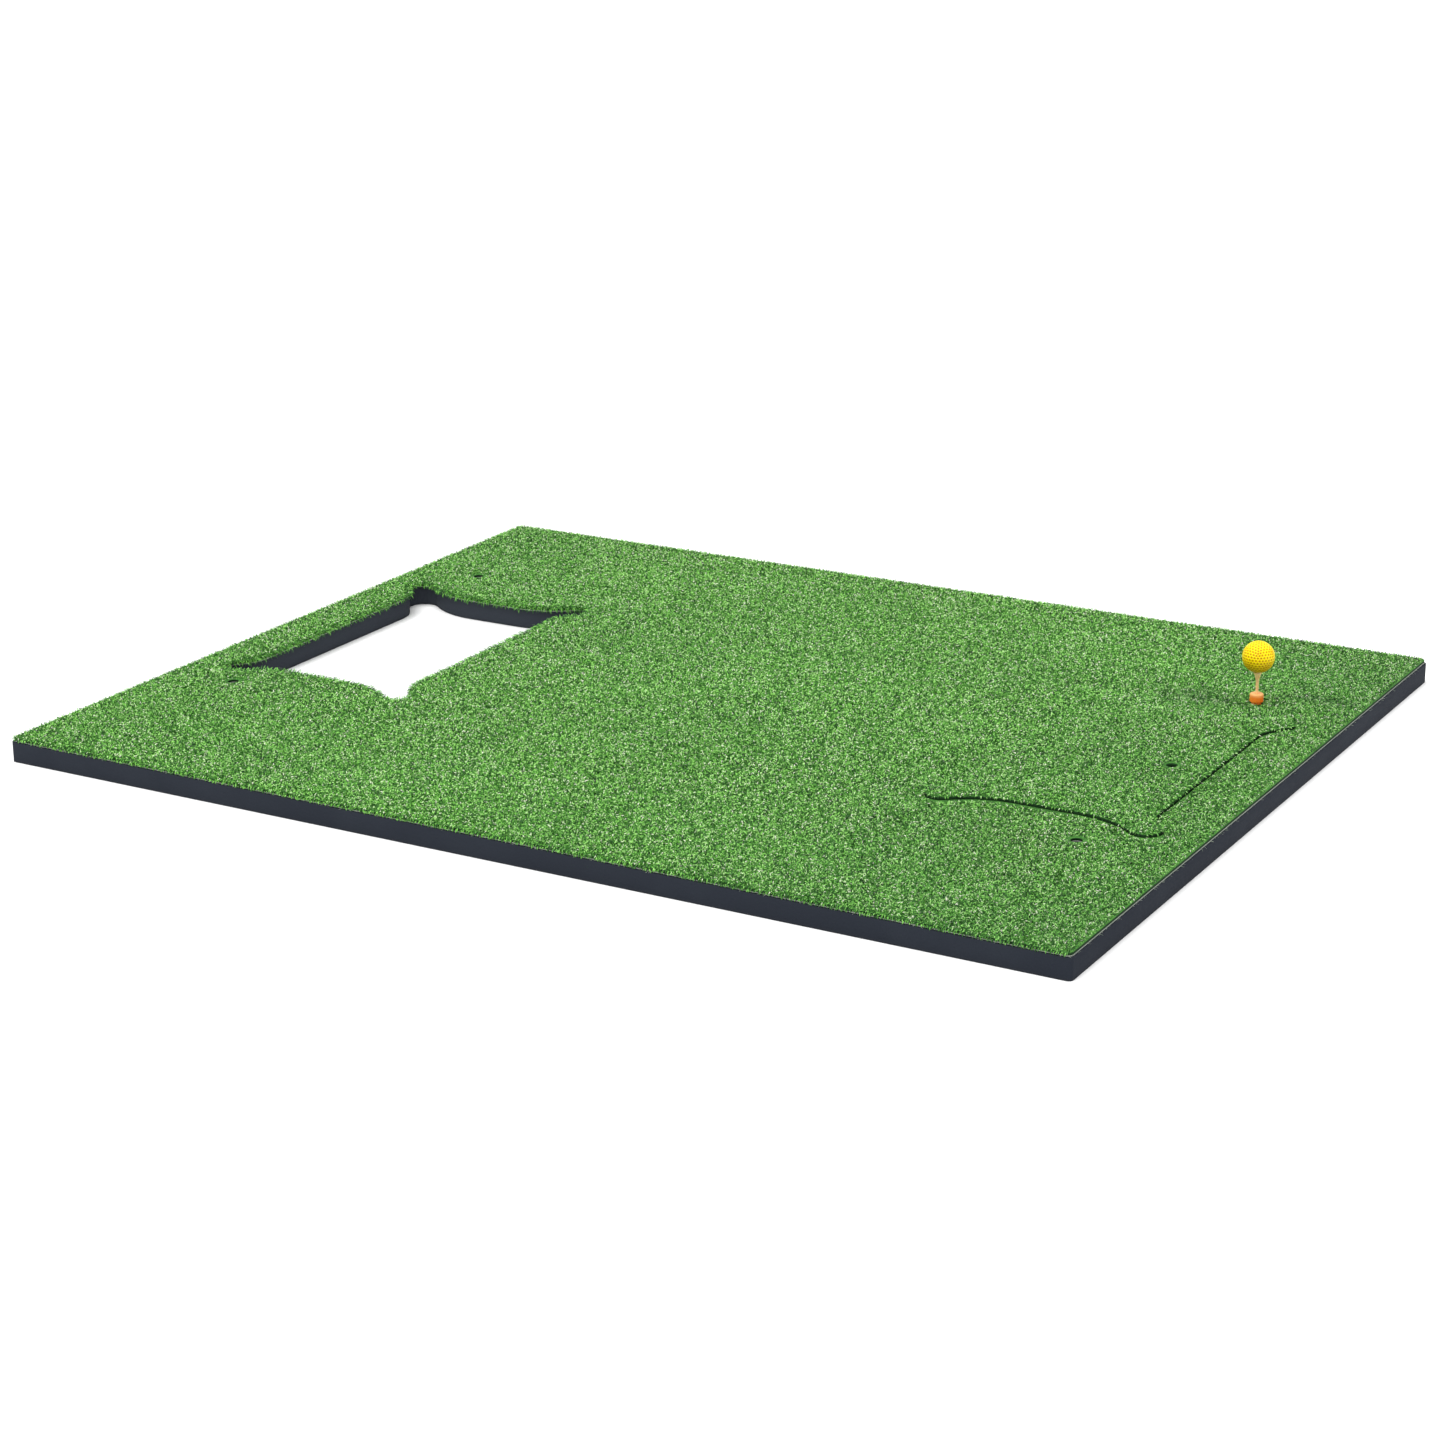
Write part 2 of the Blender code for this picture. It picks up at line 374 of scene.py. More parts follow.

# %% [markdown]
# ## The foam pads
# The slab is cut from closed-cell foam, slate grey all through. A blade or a hot wire cuts it, so its sides
# are flat with a faint drag along the cut and its edges are only just rounded. The cut walls inside the slab
# and its underside are painted a little paler: painted light that lifts the walls lying in the pockets'
# shade.
# The pad could be modelled as a box with Booleans, but the imported solid already has the right outline, so
# its copy gets a narrow Bevel, and the drag and the bubbles are in the material.

# %% Foam material
FOAM_COLOUR = (0.017, 0.021, 0.030)
FOAM_DRIFT = (0.023, 0.028, 0.038)
FOAM_PIT = (0.009, 0.011, 0.017, 1.0)
FOAM_INNER_PAINTED_LIGHT = (0.036, 0.042, 0.053, 1.0)
FOAM_SOIL = (0.030, 0.032, 0.035, 1.0)
FOAM_CELL = 0.0011
SOIL_HEIGHT = 0.004
INNER_INSET = 0.006
INNER_LIGHT_SHARE = 0.75
DRAG_SCALE = (12.0, 12.0, 900.0)

foam, tree, shader, place = new_material("slate_foam", Roughness=0.85, Specular_IOR_Level=0.12)
tone = use_tone(tree, place, FOAM_COLOUR, FOAM_DRIFT, 0.09, 0.0016, 0.5)
skin = use_cells(tree, place, FOAM_CELL, 0.7)
flattened = node(tree, "ShaderNodeMapping", {"Vector": place, "Scale": DRAG_SCALE}).outputs["Vector"]
drag = node(tree, "ShaderNodeTexNoise", {"Vector": flattened, "Scale": 1.0, "Detail": 3.0}).outputs["Fac"]
position = split(tree, place)
soil = stretched(tree, position["Z"], SOIL_HEIGHT, 0.0, 0.0, 0.35)
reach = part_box("base_pad")[1]
# Painted light: away from the slab's outer sides, on the cut walls inside and on the underside, the foam
# blends towards a paler slate.
inner_light = INNER_LIGHT_SHARE
for axis, side in (("X", reach.x), ("Y", reach.y)):
    out = maths(tree, "ABSOLUTE", position[axis])
    inside = stretched(tree, out, side - INNER_INSET, side - 2 * INNER_INSET)
    inner_light = maths(tree, "MULTIPLY", inner_light, inside)
pitted = blended(tree, maths(tree, "MULTIPLY", skin["Pits"], 0.35), tone["Colour"], FOAM_PIT)
foam_with_inner_light = blended(tree, inner_light, pitted, FOAM_INNER_PAINTED_LIGHT)
use_colour(tree, shader, blended(tree, soil, foam_with_inner_light, FOAM_SOIL))
use_roughness(tree, shader, tone["Specks"], 0.72, 0.92)
use_bump(tree, shader, maths(tree, "ADD", skin["Height"], maths(tree, "MULTIPLY", drag, 1.6)), 0.35, 0.0004)
print("foam cells", FOAM_CELL * 1000, "mm")

# %% Pads for the mat and the insert
FOAM_EDGE = 0.0016

for cad_node, name, body in (("base_pad", "foam_pad", "mat"), ("insert_pad", "insert_foam_pad", "insert")):
    pad = merged_copy(cad_node, name, foam)
    round_edges(pad, FOAM_EDGE)
    pad = made_real(pad)
    settle(pad, body, "foam", cad_node)
    print(pad.name, len(pad.data.polygons), "faces")

# %% [markdown]
# ## The woven backing
# The grass is tufted into a thin woven cloth, which shows as a pale line along the cut edges. It is a sheet
# of cloth laid flat and glued down. Its weave is two crossed waves in the material, one for the warp and
# one for the weft.

# %% Backing material
THREAD_PITCH = 0.0012
BACKING_COLOUR = (0.50, 0.52, 0.47)
BACKING_DRIFT = (0.30, 0.36, 0.29)
BACKING_GAP = (0.22, 0.24, 0.21, 1.0)
WAVES_PER_SCALE = 10.0

backing, tree, shader, place = new_material("woven_backing", Roughness=0.85, Specular_IOR_Level=0.3)
thread_scale = math.pi / THREAD_PITCH / WAVES_PER_SCALE
waves = {"Vector": place, "Scale": thread_scale}
warp, weft = (node(tree, "ShaderNodeTexWave", waves, bands_direction=way).outputs["Fac"] for way in "XY")
weave = maths(tree, "MAXIMUM", warp, weft)
tone = use_tone(tree, place, BACKING_COLOUR, BACKING_DRIFT, 0.03, 0.0012, 0.6)
use_colour(tree, shader, blended(tree, stretched(tree, weave, 0.4, 1.0), BACKING_GAP, tone["Colour"]))
use_bump(tree, shader, weave, 0.6, 0.0003)
print("backing threads every", THREAD_PITCH * 1000, "mm")

# %% Backing sheets
BACKING_EDGE = 0.0004


for cad_node, name, body, lies_on in (
    ("turf_backing", "backing_cloth", "mat", "foam_pad"),
    ("insert_backing", "insert_backing_cloth", "insert", "insert_foam_pad"),
):
    cloth = merged_copy(cad_node, name, backing)
    round_edges(cloth, BACKING_EDGE, 2)
    cloth = made_real(cloth)
    settle(cloth, body, "turf_backing", cad_node)
    low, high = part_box(cad_node)

# %% [markdown]
# ## The matted roots
# Down between the blades the fibres are packed so tightly that they read as one dark green mat. Real blades
# could fill that depth too, but nobody would see them, so the roots are a thin slab of their own under the
# blades, with a tangled dark green material. Its upright cut sides, in a seam, a hole and along the outer
# edges, are painted nearly black: painted shade. The insert sees less wear than the mat, so its slab is a
# little thicker and stands slightly proud of the mat.

# %% Root mat
ROOT_THICKNESS = 0.0030
INSERT_ROOT_THICKNESS = 0.0062
ROOT_GREEN = (0.025, 0.110, 0.018)
ROOT_DRIFT = (0.120, 0.380, 0.060)
CUT_SIDE_PAINTED_SHADE = (0.007, 0.036, 0.007, 1.0)

roots, tree, shader, place = new_material("matted_roots", Roughness=0.8, Specular_IOR_Level=0.2)
tone = use_tone(tree, place, ROOT_GREEN, ROOT_DRIFT, 0.02, 0.0022, 0.9)
# Painted shade: where the surface stands upright, the roots' cut sides blend to near-black.
facing = node(tree, "ShaderNodeNewGeometry").outputs["True Normal"]
upwards = maths(tree, "ABSOLUTE", split(tree, facing)["Z"])
use_colour(tree, shader, blended(tree, stretched(tree, upwards, 0.3, 0.7), CUT_SIDE_PAINTED_SHADE, tone["Colour"]))
use_bump(tree, shader, tone["Specks"], 0.9, 0.001)


def make_root_mat(cad_node, name, body, thickness):
    """The lowest part of the pile: the CAD pile's outline, cut down to the roots' thickness."""
    low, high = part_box(cad_node)
    mat = merged_copy(cad_node, name, roots)
    for vertex in mat.data.vertices:
        if vertex.co.z > (low.z + high.z) / 2:
            vertex.co.z = low.z + thickness
    settle(mat, body, "turf", cad_node)
    print(name, "from", round(low.z * 1000, 1), "to", round((low.z + thickness) * 1000, 1), "mm")
    return mat


make_root_mat("turf_pile", "root_mat", "mat", ROOT_THICKNESS)
make_root_mat("insert_pile", "insert_root_mat", "insert", INSERT_ROOT_THICKNESS)

# %% [markdown]
# ## One blade of grass
# A blade is a flat nylon ribbon. Heat makes it curl, and hitting turf is packed so densely with curls that
# its top reads as grain and not as lawn. So a blade stands up a little way out of the matted roots and then
# hooks over. Each of a few shapes is a strip of quads whose lean grows from nothing at the root to `bend`
# at the tip, while the strip twists about its own length. Longer, gentler ones make the fringe that hangs
# over a pocket. Points carry how far along the blade they are, so that the material can paint shade at the
# root and at the tip.

# %% Blade shapes
BLADE_ROWS = 2
BLADE_LENGTH = 0.0054
BLADE_WIDTH = 0.00125
BLADE_SHAPES = (
    (1.50, 0.5, 0.90), (2.00, -0.8, 0.98), (2.50, 1.0, 1.05),
    (2.90, -0.5, 1.12), (3.30, 1.4, 1.18), (2.20, -1.7, 0.92),
)
FRINGE_ROWS = 3
FRINGE_LENGTH = 0.0092
FRINGE_WIDTH = 0.0010
FRINGE_SHAPES = ((1.0, 0.5, 0.80), (1.4, -0.7, 1.00), (1.8, 0.9, 1.15), (0.7, -0.3, 0.90))
BEND_POWER = 1.4
TIP_TAPER = 0.45


def make_blade(name, rows, length, width, bend, twist):
    """A curled ribbon that grows up from the origin and hooks over towards +X."""
    step = length / rows
    x = z = 0.0
    points, along_values = [], []
    for row in range(rows + 1):
        along = row / rows
        lean = bend * along ** BEND_POWER
        half = width / 2 * (1.0 - TIP_TAPER * along ** 2)
        turn = twist * along
        side = Vector((math.cos(lean) * math.sin(turn), math.cos(turn), -math.sin(lean) * math.sin(turn)))
        for sign in (-1, 1):
            points.append(Vector((x, 0.0, z)) + side * half * sign)
            along_values.append(along)
        middle = bend * (along + 0.5 / rows) ** BEND_POWER
        x += step * math.sin(middle)
        z += step * math.cos(middle)
    faces = [(2 * row, 2 * row + 1, 2 * row + 3, 2 * row + 2) for row in range(rows)]
    mesh = bpy.data.meshes.new(name)
    mesh.from_pydata(points, [], faces)
    mesh.attributes.new("along", "FLOAT", "POINT").data.foreach_set("value", along_values)
    mesh.shade_smooth()
    return bpy.data.objects.new(name, mesh)


def make_shelf(name, rows, length, width, shapes):
    """A collection that holds one object for each blade shape."""
    shelf = bpy.data.collections.new(name)
    for number, (bend, twist, stretch) in enumerate(shapes):
        shelf.objects.link(make_blade(f"{name}_{number}", rows, length * stretch, width, bend, twist))
    return shelf


blade_shelf = make_shelf("blade_shapes", BLADE_ROWS, BLADE_LENGTH, BLADE_WIDTH, BLADE_SHAPES)
fringe_shelf = make_shelf("fringe_shapes", FRINGE_ROWS, FRINGE_LENGTH, FRINGE_WIDTH, FRINGE_SHAPES)

# %% [markdown]
# ## The nylon of the blades
# Hitting turf mixes yarns: mostly mid green, some dark and some pale. Each blade carries a random `tint`, and
# a ramp turns it into a colour; its palest stops, up to near white, are painted highlight that stands for the
# glints on the tops of curls. Only the crest of a curl stands in full light, so painted shade sinks the
# colour towards dark green both at the root and at the tip that hooks down. A very large soft noise lets the
# whole field drift a little, the right margin and its front corner keep a deeper green, and two soft patches
# beside the tee are darker.

# %% Blade material
# Painted highlight: the two palest stops, pale green and near white, stand for glints on curl tops; the
# others are the yarns' own colours.
YARNS_AND_HIGHLIGHTS = (
    (0.00, (0.006, 0.034, 0.007)),
    (0.24, (0.032, 0.150, 0.019)),
    (0.46, (0.185, 0.570, 0.070)),
    (0.72, (0.350, 0.830, 0.150)),
    (0.90, (0.600, 0.950, 0.370)),
    (1.00, (1.000, 1.000, 0.840)),
)
PAINTED_SHADE_GREEN = (0.010, 0.060, 0.008, 1.0)
DRIFT_SCALE = 3.2
MARGIN_DEPTH = 0.45
CORNER_DEPTH = 0.6
DARK_PATCH_DEPTH = 0.75
DARK_PATCHES = (
    ((0.530, 0.290), (0.085, 0.055)),
    ((0.692, 0.352), (0.070, 0.026)),
)

nylon, tree, shader, place = new_material("turf_nylon", Roughness=0.5, Specular_IOR_Level=0.22)
yarn_and_highlight = banded(tree, carried(tree, "tint"), YARNS_AND_HIGHLIGHTS)
field = node(tree, "ShaderNodeTexNoise", {"Vector": place, "Scale": DRIFT_SCALE, "Detail": 3.0})
shade = stretched(tree, field.outputs["Fac"], 0.3, 0.7, 0.0, 0.3)
# Two soft patches beside the tee pull the colour towards the duller one.
for (x, y), (reach_x, reach_y) in DARK_PATCHES:
    from_patch = node(tree, "ShaderNodeMapping", {
        "Vector": place, "Location": (-x / reach_x, -y / reach_y, 0.0),
        "Scale": (1.0 / reach_x, 1.0 / reach_y, 0.0)}).outputs["Vector"]
    patch_dark = stretched(tree, vectors(tree, "LENGTH", from_patch), 0.3, 1.0, DARK_PATCH_DEPTH, 0.0)
    shade = maths(tree, "ADD", shade, patch_dark)
sides = split(tree, place)
to_corner = maths(tree, "SUBTRACT", sides["X"], sides["Y"])
margin = maths(tree, "MAXIMUM", stretched(tree, to_corner, 0.50, 1.35, 0.0, CORNER_DEPTH),
               stretched(tree, sides["X"], 0.45, 0.74, 0.0, MARGIN_DEPTH))
shade = maths(tree, "ADD", shade, margin)
duller = node(tree, "ShaderNodeHueSaturation", {
    "Color": yarn_and_highlight, "Hue": 0.505, "Saturation": 0.95, "Value": 0.62}).outputs["Color"]
# Painted shade: the colour sinks towards dark green at the root and at the tip that hooks down.
along = carried(tree, "along")
rising = stretched(tree, along, 0.10, 0.55, 0.85, 0.0)
falling = stretched(tree, along, 0.70, 1.0, 0.0, 0.55)
painted_shade = maths(tree, "MAXIMUM", rising, falling)
use_colour(tree, shader, blended(tree, painted_shade, blended(tree, shade, yarn_and_highlight, duller), PAINTED_SHADE_GREEN))
print(len(YARNS_AND_HIGHLIGHTS), "yarns and", len(DARK_PATCHES), "dark_patches")

# %% [markdown]
# ## Tufting, as a Geometry Nodes tree
# A tufting machine punches yarn through the backing in close rows. The tree does the same: it lays a grid of
# points over one tile, moves each a little, and drops a ray on the pile's outline to find the points that
# are over turf. Near a rim nothing holds a blade upright. Round the empty pocket blades flop outwards over
# its edge. Round the tee holes, and where the seam round the insert gapes, they are brushed back and worn
# short, and only some survive in a band along the rim. How they lie is stored on each stretch of the rim as
# `hang`, positive for outwards and negative for back. Every blade gets a shape, a turn, a size and a tint
# from a fixed seed.

# %% Tree helpers


def new_tree(name, inputs):
    """A Geometry Nodes tree with a geometry in and out, and the named inputs."""
    tree = bpy.data.node_groups.new(name, "GeometryNodeTree")
    tree.interface.new_socket(name="Geometry", in_out="INPUT", socket_type="NodeSocketGeometry")
    for label, kind in inputs:
        tree.interface.new_socket(name=label, in_out="INPUT", socket_type="NodeSocket" + kind)
    tree.interface.new_socket(name="Geometry", in_out="OUTPUT", socket_type="NodeSocketGeometry")
    return tree, tree.nodes.new("NodeGroupInput").outputs, tree.nodes.new("NodeGroupOutput")


def draw(tree, low, high, seed, salt):
    """A random number for each point or instance, different for each salt."""
    own_seed = maths(tree, "ADD", seed, float(salt))
    return node(tree, "FunctionNodeRandomValue", {2: low, 3: high, "Seed": own_seed}).outputs[1]


def named(tree, name):
    made = node(tree, "GeometryNodeInputNamedAttribute", {"Name": name}, data_type="FLOAT")
    return made.outputs["Attribute"]


def stored(tree, geometry, name, value, domain):
    """The geometry with a number stored on it under a name."""
    return node(tree, "GeometryNodeStoreNamedAttribute", {"Geometry": geometry, "Name": name, "Value": value},
                data_type="FLOAT", domain=domain).outputs[0]


def moved(tree, geometry, offset):
    return node(tree, "GeometryNodeSetPosition", {"Geometry": geometry, "Offset": offset}).outputs[0]


def own_place(tree):
    return node(tree, "GeometryNodeInputPosition").outputs[0]


def turned(tree, euler):
    return node(tree, "FunctionNodeEulerToRotation", {"Euler": euler}).outputs[0]


print("tree helpers ready")

# %% Rim and planting helpers
PROBE_HEIGHT = 0.02


def on_rim(tree):
    """1 on the open edges of an outline, which have only one face, and 0 on the others."""
    return maths(tree, "LESS_THAN", node(tree, "GeometryNodeInputMeshEdgeNeighbors").outputs[0], 1.5)


def finds_turf(tree, outline, source):
    """Whether a ray that drops from a place meets the outline."""
    return node(tree, "GeometryNodeRaycast", {
        "Target Geometry": outline, "Source Position": source,
        "Ray Direction": (0.0, 0.0, -1.0), "Ray Length": 2 * PROBE_HEIGHT}).outputs["Is Hit"]


def rim_walk(tree, given, wanted):
    """Points in even steps along the wanted stretches of an outline's rim."""
    rim = node(tree, "GeometryNodeMeshToCurve", {
        "Mesh": given["Geometry"], "Selection": maths(tree, "MULTIPLY", on_rim(tree), wanted)}).outputs[0]
    steps = {"Curve": rim, "Length": given["Step"]}
    return node(tree, "GeometryNodeCurveToPoints", steps, mode="LENGTH").outputs


def planted(tree, given, points, count, rotation, scale):
    """One of the `count` shapes on the tree's shelf on each point, picked at random."""
    shelf = node(tree, "GeometryNodeCollectionInfo", {
        "Collection": given["Shapes"], "Separate Children": True, "Reset Children": True}).outputs[0]
    pick = node(tree, "FunctionNodeRandomValue", {4: 0, 5: count - 1, "Seed": given["Seed"]},
                data_type="INT").outputs[2]
    return node(tree, "GeometryNodeInstanceOnPoints", {
        "Points": points, "Instance": shelf, "Pick Instance": True, "Instance Index": pick,
        "Rotation": rotation, "Scale": scale}).outputs[0]


def end_tree(tree, geometry, material, result):
    """Makes a tree's result real, gives it its material and puts it out."""
    geometry = node(tree, "GeometryNodeRealizeInstances", {"Geometry": geometry}).outputs[0]
    geometry = node(tree, "GeometryNodeSetMaterial", {"Geometry": geometry, "Material": material}).outputs[0]
    tree.links.new(geometry, result.inputs["Geometry"])
    print(tree.name, "tree has", len(tree.nodes), "nodes")


def apply_tree(host, tree, **values):
    """Puts a tree on an object as a modifier, with its inputs set by identifier, and returns the result."""
    modifier = host.modifiers.new(tree.name, "NODES")
    modifier.node_group = tree
    sockets = {item.name: item.identifier for item in tree.interface.items_tree if item.in_out == "INPUT"}
    for label, value in values.items():
        modifier[sockets[label.replace("_", " ")]] = value
    return host


print("rays start", PROBE_HEIGHT * 1000, "mm above the outline")

# %% Tufting: rows of stitches
tufting, given, result = new_tree("tufting", [
    ("Tile Low", "Vector"), ("Tile High", "Vector"), ("Row Pitch", "Float"), ("Scatter", "Float"),
    ("Edge Reach", "Float"), ("Bald Reach", "Float"), ("Survivors", "Float"), ("Hang Angle", "Float"),
    ("Shapes", "Collection"), ("Fibre", "Material"), ("Seed", "Int")])
outline, seed = given["Geometry"], given["Seed"]

size = vectors(tufting, "SUBTRACT", given["Tile High"], given["Tile Low"])
middle = vectors(tufting, "SCALE", vectors(tufting, "ADD", given["Tile High"], given["Tile Low"]), 0.5)
sides = split(tufting, size)
grid_inputs = {}
for axis in "XY":
    count = maths(tufting, "ROUND", maths(tufting, "DIVIDE", sides[axis], given["Row Pitch"]))
    spans = maths(tufting, "SUBTRACT", count, 1.0)
    grid_inputs["Vertices " + axis] = count
    grid_inputs["Size " + axis] = maths(tufting, "MULTIPLY", spans, given["Row Pitch"])
grid = node(tufting, "GeometryNodeMeshGrid", grid_inputs).outputs["Mesh"]
grid = node(tufting, "GeometryNodeTransform", {"Geometry": grid, "Translation": middle}).outputs["Geometry"]
stitches = node(tufting, "GeometryNodeMeshToPoints", {"Mesh": grid}).outputs["Points"]
scatter = joined(tufting, X=draw(tufting, -0.5, 0.5, seed, 1), Y=draw(tufting, -0.5, 0.5, seed, 2))
stitches = moved(tufting, stitches, vectors(tufting, "SCALE", scatter, given["Scatter"]))

print(len(tufting.nodes), "nodes lay the stitches")

# %% Tufting: only where there is turf
above = vectors(tufting, "ADD", own_place(tufting), (0.0, 0.0, PROBE_HEIGHT))
missed = maths(tufting, "SUBTRACT", 1.0, finds_turf(tufting, outline, above))
rim = node(tufting, "GeometryNodeSeparateGeometry", {"Geometry": outline, "Selection": on_rim(tufting)},
           domain="EDGE").outputs["Selection"]
nearest = node(tufting, "GeometryNodeProximity", {0: rim}, target_element="EDGES").outputs
nearest_edge = node(tufting, "GeometryNodeSampleNearest", {"Geometry": rim}, domain="EDGE").outputs[0]
hang = node(tufting, "GeometryNodeSampleIndex", {
    "Geometry": rim, "Value": named(tufting, "hang"), "Index": nearest_edge}, domain="EDGE").outputs[0]
bald_reach = stretched(tufting, hang, -0.5, -1.0, 0.0, given["Bald Reach"])
bald = maths(tufting, "LESS_THAN", nearest["Distance"], bald_reach)
worn_off = maths(tufting, "GREATER_THAN", draw(tufting, 0.0, 1.0, seed, 10), given["Survivors"])
bald = maths(tufting, "MULTIPLY", bald, worn_off)
stitches = node(tufting, "GeometryNodeDeleteGeometry", {
    "Geometry": stitches, "Selection": maths(tufting, "MAXIMUM", bald, missed)}).outputs[0]

print(len(tufting.nodes), "nodes with those that find the turf")

# %% Tufting: how blades lie
TURN_SPREAD = 0.7
LEAN_SPREAD = 0.30
LOOSE_SHARE = 1.3
WIDEST_REACH = 2.2

wide = stretched(tufting, hang, -0.8, -1.0, 1.0, WIDEST_REACH)
edge_reach = maths(tufting, "MULTIPLY", given["Edge Reach"], wide)
nearness = stretched(tufting, nearest["Distance"], 0.0, edge_reach, 1.0, 0.0)
outwards = vectors(tufting, "SUBTRACT", nearest["Position"], own_place(tufting))
outwards = split(tufting, vectors(tufting, "SCALE", outwards, maths(tufting, "SIGN", hang)))
edge_turn = maths(tufting, "ADD", maths(tufting, "ARCTAN2", outwards["Y"], outwards["X"]),
                  draw(tufting, -TURN_SPREAD, TURN_SPREAD, seed, 3))
free_turn = draw(tufting, -math.pi, math.pi, seed, 4)
pulled = maths(tufting, "LESS_THAN", draw(tufting, 0.0, 1.0, seed, 5),
               maths(tufting, "MULTIPLY", nearness, LOOSE_SHARE))
turn = node(tufting, "GeometryNodeSwitch", {"Switch": pulled, "False": free_turn, "True": edge_turn},
            input_type="FLOAT").outputs[0]
sag = maths(tufting, "MULTIPLY", maths(tufting, "ABSOLUTE", hang), nearness)
for factor in (given["Hang Angle"], pulled, draw(tufting, 0.5, 1.2, seed, 6)):
    sag = maths(tufting, "MULTIPLY", sag, factor)
tilt = maths(tufting, "ADD", sag, draw(tufting, -LEAN_SPREAD, LEAN_SPREAD, seed, 7))

print(len(tufting.nodes), "nodes with those that lean the blades")

# %% Tufting: blades of every size
RIM_WEAR = 0.55
STATURE_SCALE = 9.0

field = node(tufting, "ShaderNodeTexNoise", {"Scale": STATURE_SCALE, "Detail": 2.0}).outputs["Fac"]
stature = stretched(tufting, field, 0.3, 0.7, 0.95, 1.05)
stature = maths(tufting, "MULTIPLY", stature, draw(tufting, 0.85, 1.10, seed, 8))
worn_rim = maths(tufting, "MULTIPLY", nearness, maths(tufting, "MINIMUM", hang, 0.0))
shorter = maths(tufting, "ADD", 1.0, maths(tufting, "MULTIPLY", worn_rim, RIM_WEAR))
stature = maths(tufting, "MULTIPLY", stature, shorter)
grass = planted(tufting, given, stitches, len(BLADE_SHAPES), turned(tufting, joined(tufting, Y=tilt, Z=turn)),
                stature)
grass = stored(tufting, grass, "tint", draw(tufting, 0.0, 1.0, seed, 9), "INSTANCE")
end_tree(tufting, grass, given["Fibre"], result)

# %% [markdown]
# ## Planting the turf
# The tree needs the pile's outline as a flat sheet with a rim. It is the underside of the CAD pile, turned
# up and lifted just below the top of the matted roots, with `hang` on its edges. The mat is planted in tiles
# so that each piece stays a workable size. The seam round the insert gapes where its rim faces the front
# and right, because club heads comb the mat's pile away from it there, and is grown shut elsewhere. Along
# the mat's right side the blades lean back from the cut and show the backing's pale edge.

# %% Outline of the turf
EMPTY_POCKET_HANG = 1.0
OPEN_SEAM_HANG = -1.0
CLOSED_SEAM_HANG = 0.3
OPEN_SEAM_SIDE = Vector((0.50, -0.87, 0.0))
INSERT_HANG = 0.6
OUTER_HANG = 0.35
RIGHT_SIDE_HANG = -0.3
FRONT_SIDE_HANG = 0.45
HOLE_HANG = -0.85
HOLE_SPAN = 0.02
CORNER_SPAN = 0.005
OUTER_SHARE = 0.9
GAPE_GAIN = 1.15
FOOT_DEPTH = 0.0006


def rim_loops(work):
    """The closed loops of rim edges of an open bmesh, each in the order of its edges' numbers."""
    work.edges.index_update()
    left = {edge for edge in work.edges if len(edge.link_faces) == 1}
    loops = []
    for first in work.edges:
        loop, front = [], [first]
        while front:
            edge = front.pop()
            if edge in left:
                left.remove(edge)
                loop.append(edge)
                front += [near for vertex in edge.verts for near in vertex.link_edges]
        if loop:
            loops.append(sorted(loop, key=lambda edge: edge.index))
    return loops


def seam_hang(edge, from_middle):
    """How blades lie along the seam round the insert, by the way that its rim faces."""
    along = (edge.verts[1].co - edge.verts[0].co).normalized()
    faces = Vector((along.y, -along.x, 0.0))
    if faces.dot(from_middle) < 0:
        faces = -faces
    gaping = min(1.0, max(0.0, faces.dot(OPEN_SEAM_SIDE) * GAPE_GAIN))
    return CLOSED_SEAM_HANG + (OPEN_SEAM_HANG - CLOSED_SEAM_HANG) * gaping


def turf_outline(cad_node, name, root_thickness, outer_hang):
    """The flat outline of a pile at its roots, with how far blades hang over each stretch of its rim."""
    work = bmesh.new()
    work.from_mesh(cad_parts[cad_node].data)
    bmesh.ops.remove_doubles(work, verts=work.verts, dist=MERGE_DISTANCE)
    low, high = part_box(cad_node)
    walls = [face for face in work.faces if face.calc_center_median().z > low.z + MERGE_DISTANCE]
    bmesh.ops.delete(work, geom=walls, context="FACES")
    bmesh.ops.reverse_faces(work, faces=work.faces)
    hang = work.edges.layers.float.new("hang")
    front_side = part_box("turf_pile")[0].y + CORNER_SPAN
    right_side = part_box("turf_pile")[1].x - CORNER_SPAN
    spans = []
    for loop in rim_loops(work):
        places = [(edge.verts[0].co + edge.verts[1].co) / 2 for edge in loop]
        middle = sum(places, Vector()) / len(places)
        xs = [place.x for place in places]
        span = max(xs) - min(xs)
        spans.append(round(span * 1000))
        for edge, place in zip(loop, places):
            if span < HOLE_SPAN:
                edge[hang] = HOLE_HANG
            elif span > (high.x - low.x) * OUTER_SHARE:
                edge[hang] = outer_hang
                if place.x > right_side:
                    edge[hang] = RIGHT_SIDE_HANG
                elif place.y < front_side:
                    edge[hang] = FRONT_SIDE_HANG
            elif middle.x < 0:
                edge[hang] = EMPTY_POCKET_HANG
            else:
                edge[hang] = seam_hang(edge, place - middle)
    bmesh.ops.translate(work, verts=work.verts, vec=(0.0, 0.0, root_thickness - FOOT_DEPTH))
    print(name, "rims span", sorted(spans), "mm")
    return mesh_from(work, name)


mat_outline = turf_outline("turf_pile", "mat_turf_outline", ROOT_THICKNESS, OUTER_HANG)
insert_outline = turf_outline("insert_pile", "insert_turf_outline", INSERT_ROOT_THICKNESS, INSERT_HANG)

# %% Plant the tiles
ROW_PITCH = 0.00205
SCATTER = 0.0028
EDGE_REACH = 0.006
BALD_REACH = 0.008
SURVIVORS = 0.35
HANG_ANGLE = 1.1
TILES_ACROSS = 5
TILES_DEEP = 2


